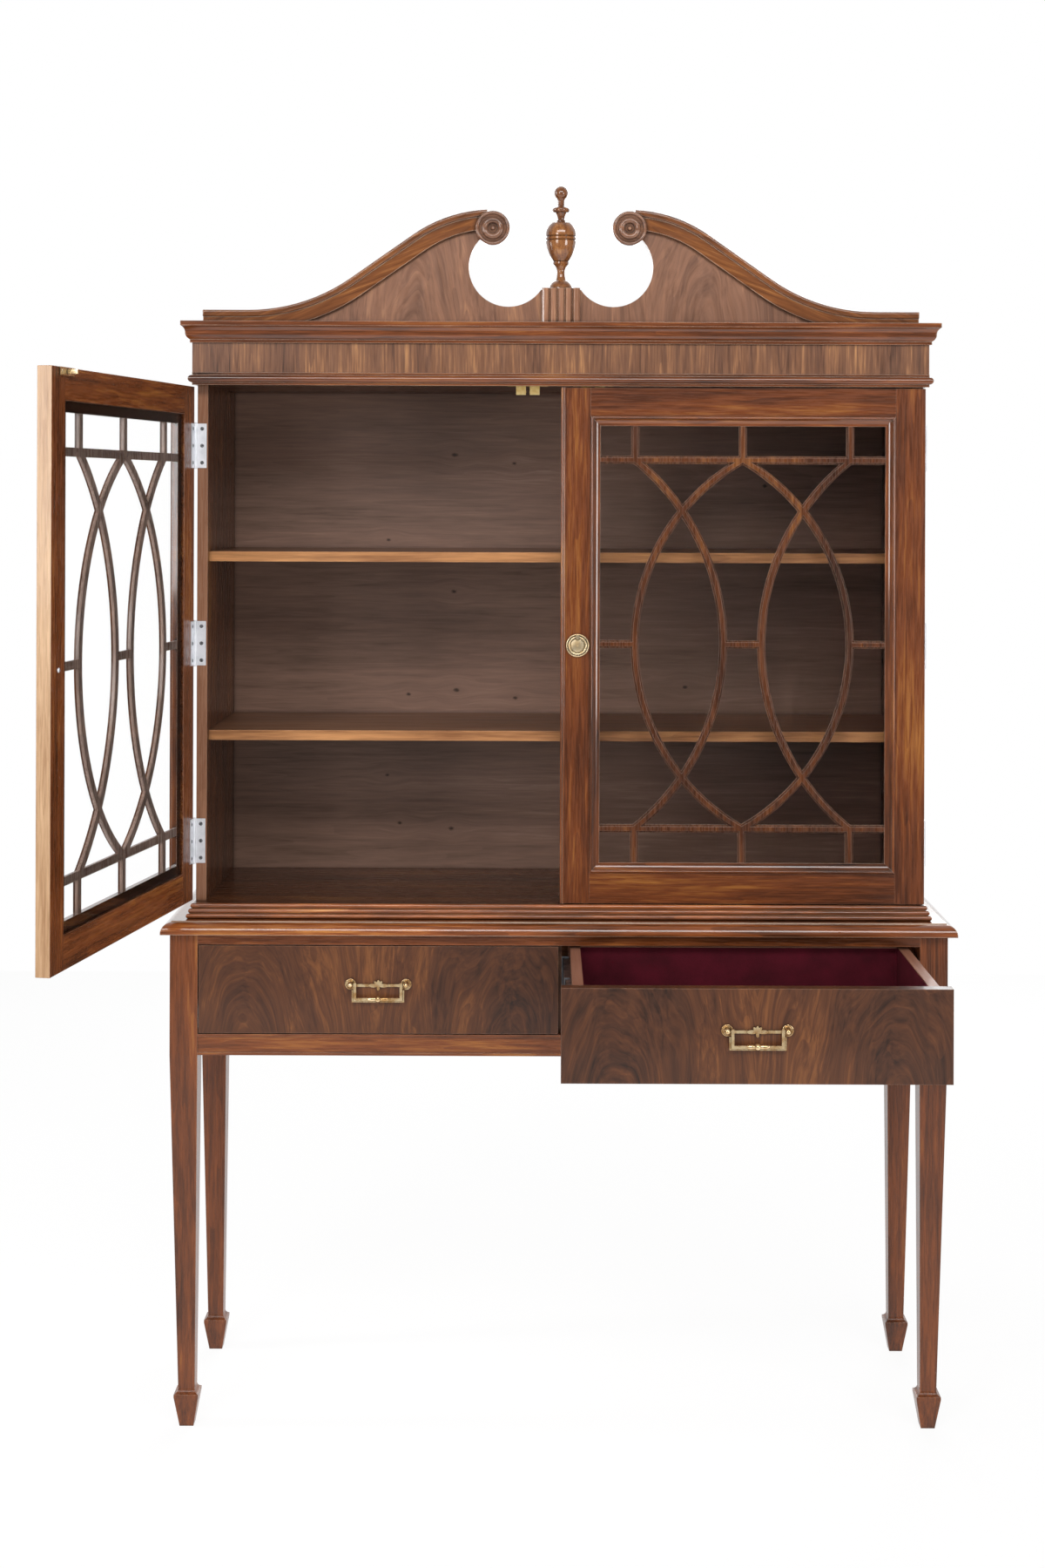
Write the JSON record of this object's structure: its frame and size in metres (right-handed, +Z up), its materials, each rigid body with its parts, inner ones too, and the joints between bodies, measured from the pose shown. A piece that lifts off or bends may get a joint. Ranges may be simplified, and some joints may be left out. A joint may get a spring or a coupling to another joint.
{
  "type": "display cabinet on stand",
  "caption": "Glazed walnut display cabinet on a tapered-leg stand, with astragal-glazed doors, shelves, velvet-lined drawers on slides and a swan-neck pediment with an urn finial.",
  "frame": {"origin": "on the floor, at the middle of the stand's footprint", "axes": "+X to the viewer's right, +Y to the back, +Z up"},
  "size_m": [1.2787, 0.8583, 1.885],
  "materials": {
    "walnut_solid": "polished walnut, glossy lacquer",
    "crossgrain_veneer": "cross-grain walnut veneer, glossy lacquer",
    "back_panel_wood": "dark walnut veneer, satin",
    "antique_brass": "antiqued cast brass",
    "bright_brass": "polished brass",
    "nickel_steel": "nickel-plated steel",
    "zinc_steel": "zinc-plated steel",
    "glass": "clear float glass",
    "velvet": "burgundy velvet"
  },
  "bodies": {
    "cabinet": {"aprons": "walnut_solid", "astragal_moulding": "walnut_solid", "back_panel": "back_panel_wood", "ball_catches": "bright_brass", "case_bottom": "walnut_solid", "case_hinge_leaves": "nickel_steel", "case_side_left": "walnut_solid", "case_side_right": "walnut_solid", "case_top": "walnut_solid", "cornice": "walnut_solid", "drawer_divider": "walnut_solid", "finial_plinth": "walnut_solid", "frieze": "crossgrain_veneer", "front_rails": "walnut_solid", "leg_front_left": "walnut_solid", "leg_front_right": "walnut_solid", "leg_rear_left": "walnut_solid", "leg_rear_right": "walnut_solid", "pediment_board": "crossgrain_veneer", "rosettes": "walnut_solid", "shelf_lower": "walnut_solid", "shelf_upper": "walnut_solid", "slide_battens": "walnut_solid", "slide_channels": "zinc_steel", "swan_necks": "walnut_solid", "table_top": "walnut_solid", "top_board": "walnut_solid", "urn_finial": "walnut_solid", "waist_moulding": "walnut_solid"},
    "left_door": {"left_door_frame": "walnut_solid", "left_glazing_moulding": "walnut_solid", "left_door_glass": "glass", "left_glazing_bars": "walnut_solid", "left_door_hinge_leaves": "nickel_steel", "left_catch_strike": "bright_brass", "left_pull_plate": "bright_brass"},
    "left_drawer": {"left_drawer_front": "crossgrain_veneer", "left_drawer_box": "walnut_solid", "left_drawer_lining": "velvet", "left_handle_plate": "antique_brass", "left_slide_runners": "zinc_steel"},
    "left_slide_middle": {"left_slide_middles": "zinc_steel"},
    "left_bail": {"left_bail": "antique_brass"},
    "left_pull_ring": {"left_pull_ring": "bright_brass"},
    "right_door": {"right_door_frame": "walnut_solid", "right_glazing_moulding": "walnut_solid", "right_door_glass": "glass", "right_glazing_bars": "walnut_solid", "right_door_hinge_leaves": "nickel_steel", "right_catch_strike": "bright_brass", "right_pull_plate": "bright_brass", "meeting_bead": "walnut_solid"},
    "right_drawer": {"right_drawer_front": "crossgrain_veneer", "right_drawer_box": "walnut_solid", "right_drawer_lining": "velvet", "right_handle_plate": "antique_brass", "right_slide_runners": "zinc_steel"},
    "right_slide_middle": {"right_slide_middles": "zinc_steel"},
    "right_bail": {"right_bail": "antique_brass"},
    "right_pull_ring": {"right_pull_ring": "bright_brass"}
  },
  "joints": [
    {"name": "left_door_swing", "type": "hinge", "parent": "cabinet", "child": "left_door", "pos_m": [-0.5584, -0.1296, 1.18475], "axis": [0, 0, -1], "range_deg": [-100, 80]},
    {"name": "right_door_swing", "type": "hinge", "parent": "cabinet", "child": "right_door", "pos_m": [0.5584, -0.1296, 1.18475], "axis": [0, 0, 1], "range_deg": [0, 180]},
    {"name": "left_drawer_slide", "type": "slide", "parent": "cabinet", "child": "left_drawer", "axis": [0, -1, 0], "range_m": [0, 0.3]},
    {"name": "right_drawer_slide", "type": "slide", "parent": "cabinet", "child": "right_drawer", "axis": [0, -1, 0], "range_m": [-0.278, 0.022]},
    {"name": "left_slide_middle_slide", "type": "slide", "parent": "cabinet", "child": "left_slide_middle", "axis": [0, -1, 0], "range_m": [0, 0.15]},
    {"name": "right_slide_middle_slide", "type": "slide", "parent": "cabinet", "child": "right_slide_middle", "axis": [0, -1, 0], "range_m": [-0.139, 0.011]},
    {"name": "left_bail_swing", "type": "hinge", "parent": "left_drawer", "child": "left_bail", "pos_m": [-0.27237, -0.1835, 0.6745], "axis": [-1, 0, 0], "range_deg": [0, 100]},
    {"name": "right_bail_swing", "type": "hinge", "parent": "right_drawer", "child": "right_bail", "pos_m": [0.27237, -0.4615, 0.6745], "axis": [-1, 0, 0], "range_deg": [0, 100]},
    {"name": "left_pull_ring_swing", "type": "hinge", "parent": "left_door", "child": "left_pull_ring", "pos_m": [-0.67456, -0.64872, 1.1978], "axis": [0.1736, 0.9848, 0], "range_deg": [0, 90]},
    {"name": "right_pull_ring_swing", "type": "hinge", "parent": "right_door", "child": "right_pull_ring", "pos_m": [0.027, -0.15385, 1.1978], "axis": [-1, 0, 0], "range_deg": [0, 90]}
  ],
  "couplings": [
    {"joint": "left_slide_middle_slide", "follows": "left_drawer_slide", "ratio": 0.5},
    {"joint": "right_slide_middle_slide", "follows": "right_drawer_slide", "ratio": 0.5}
  ]
}
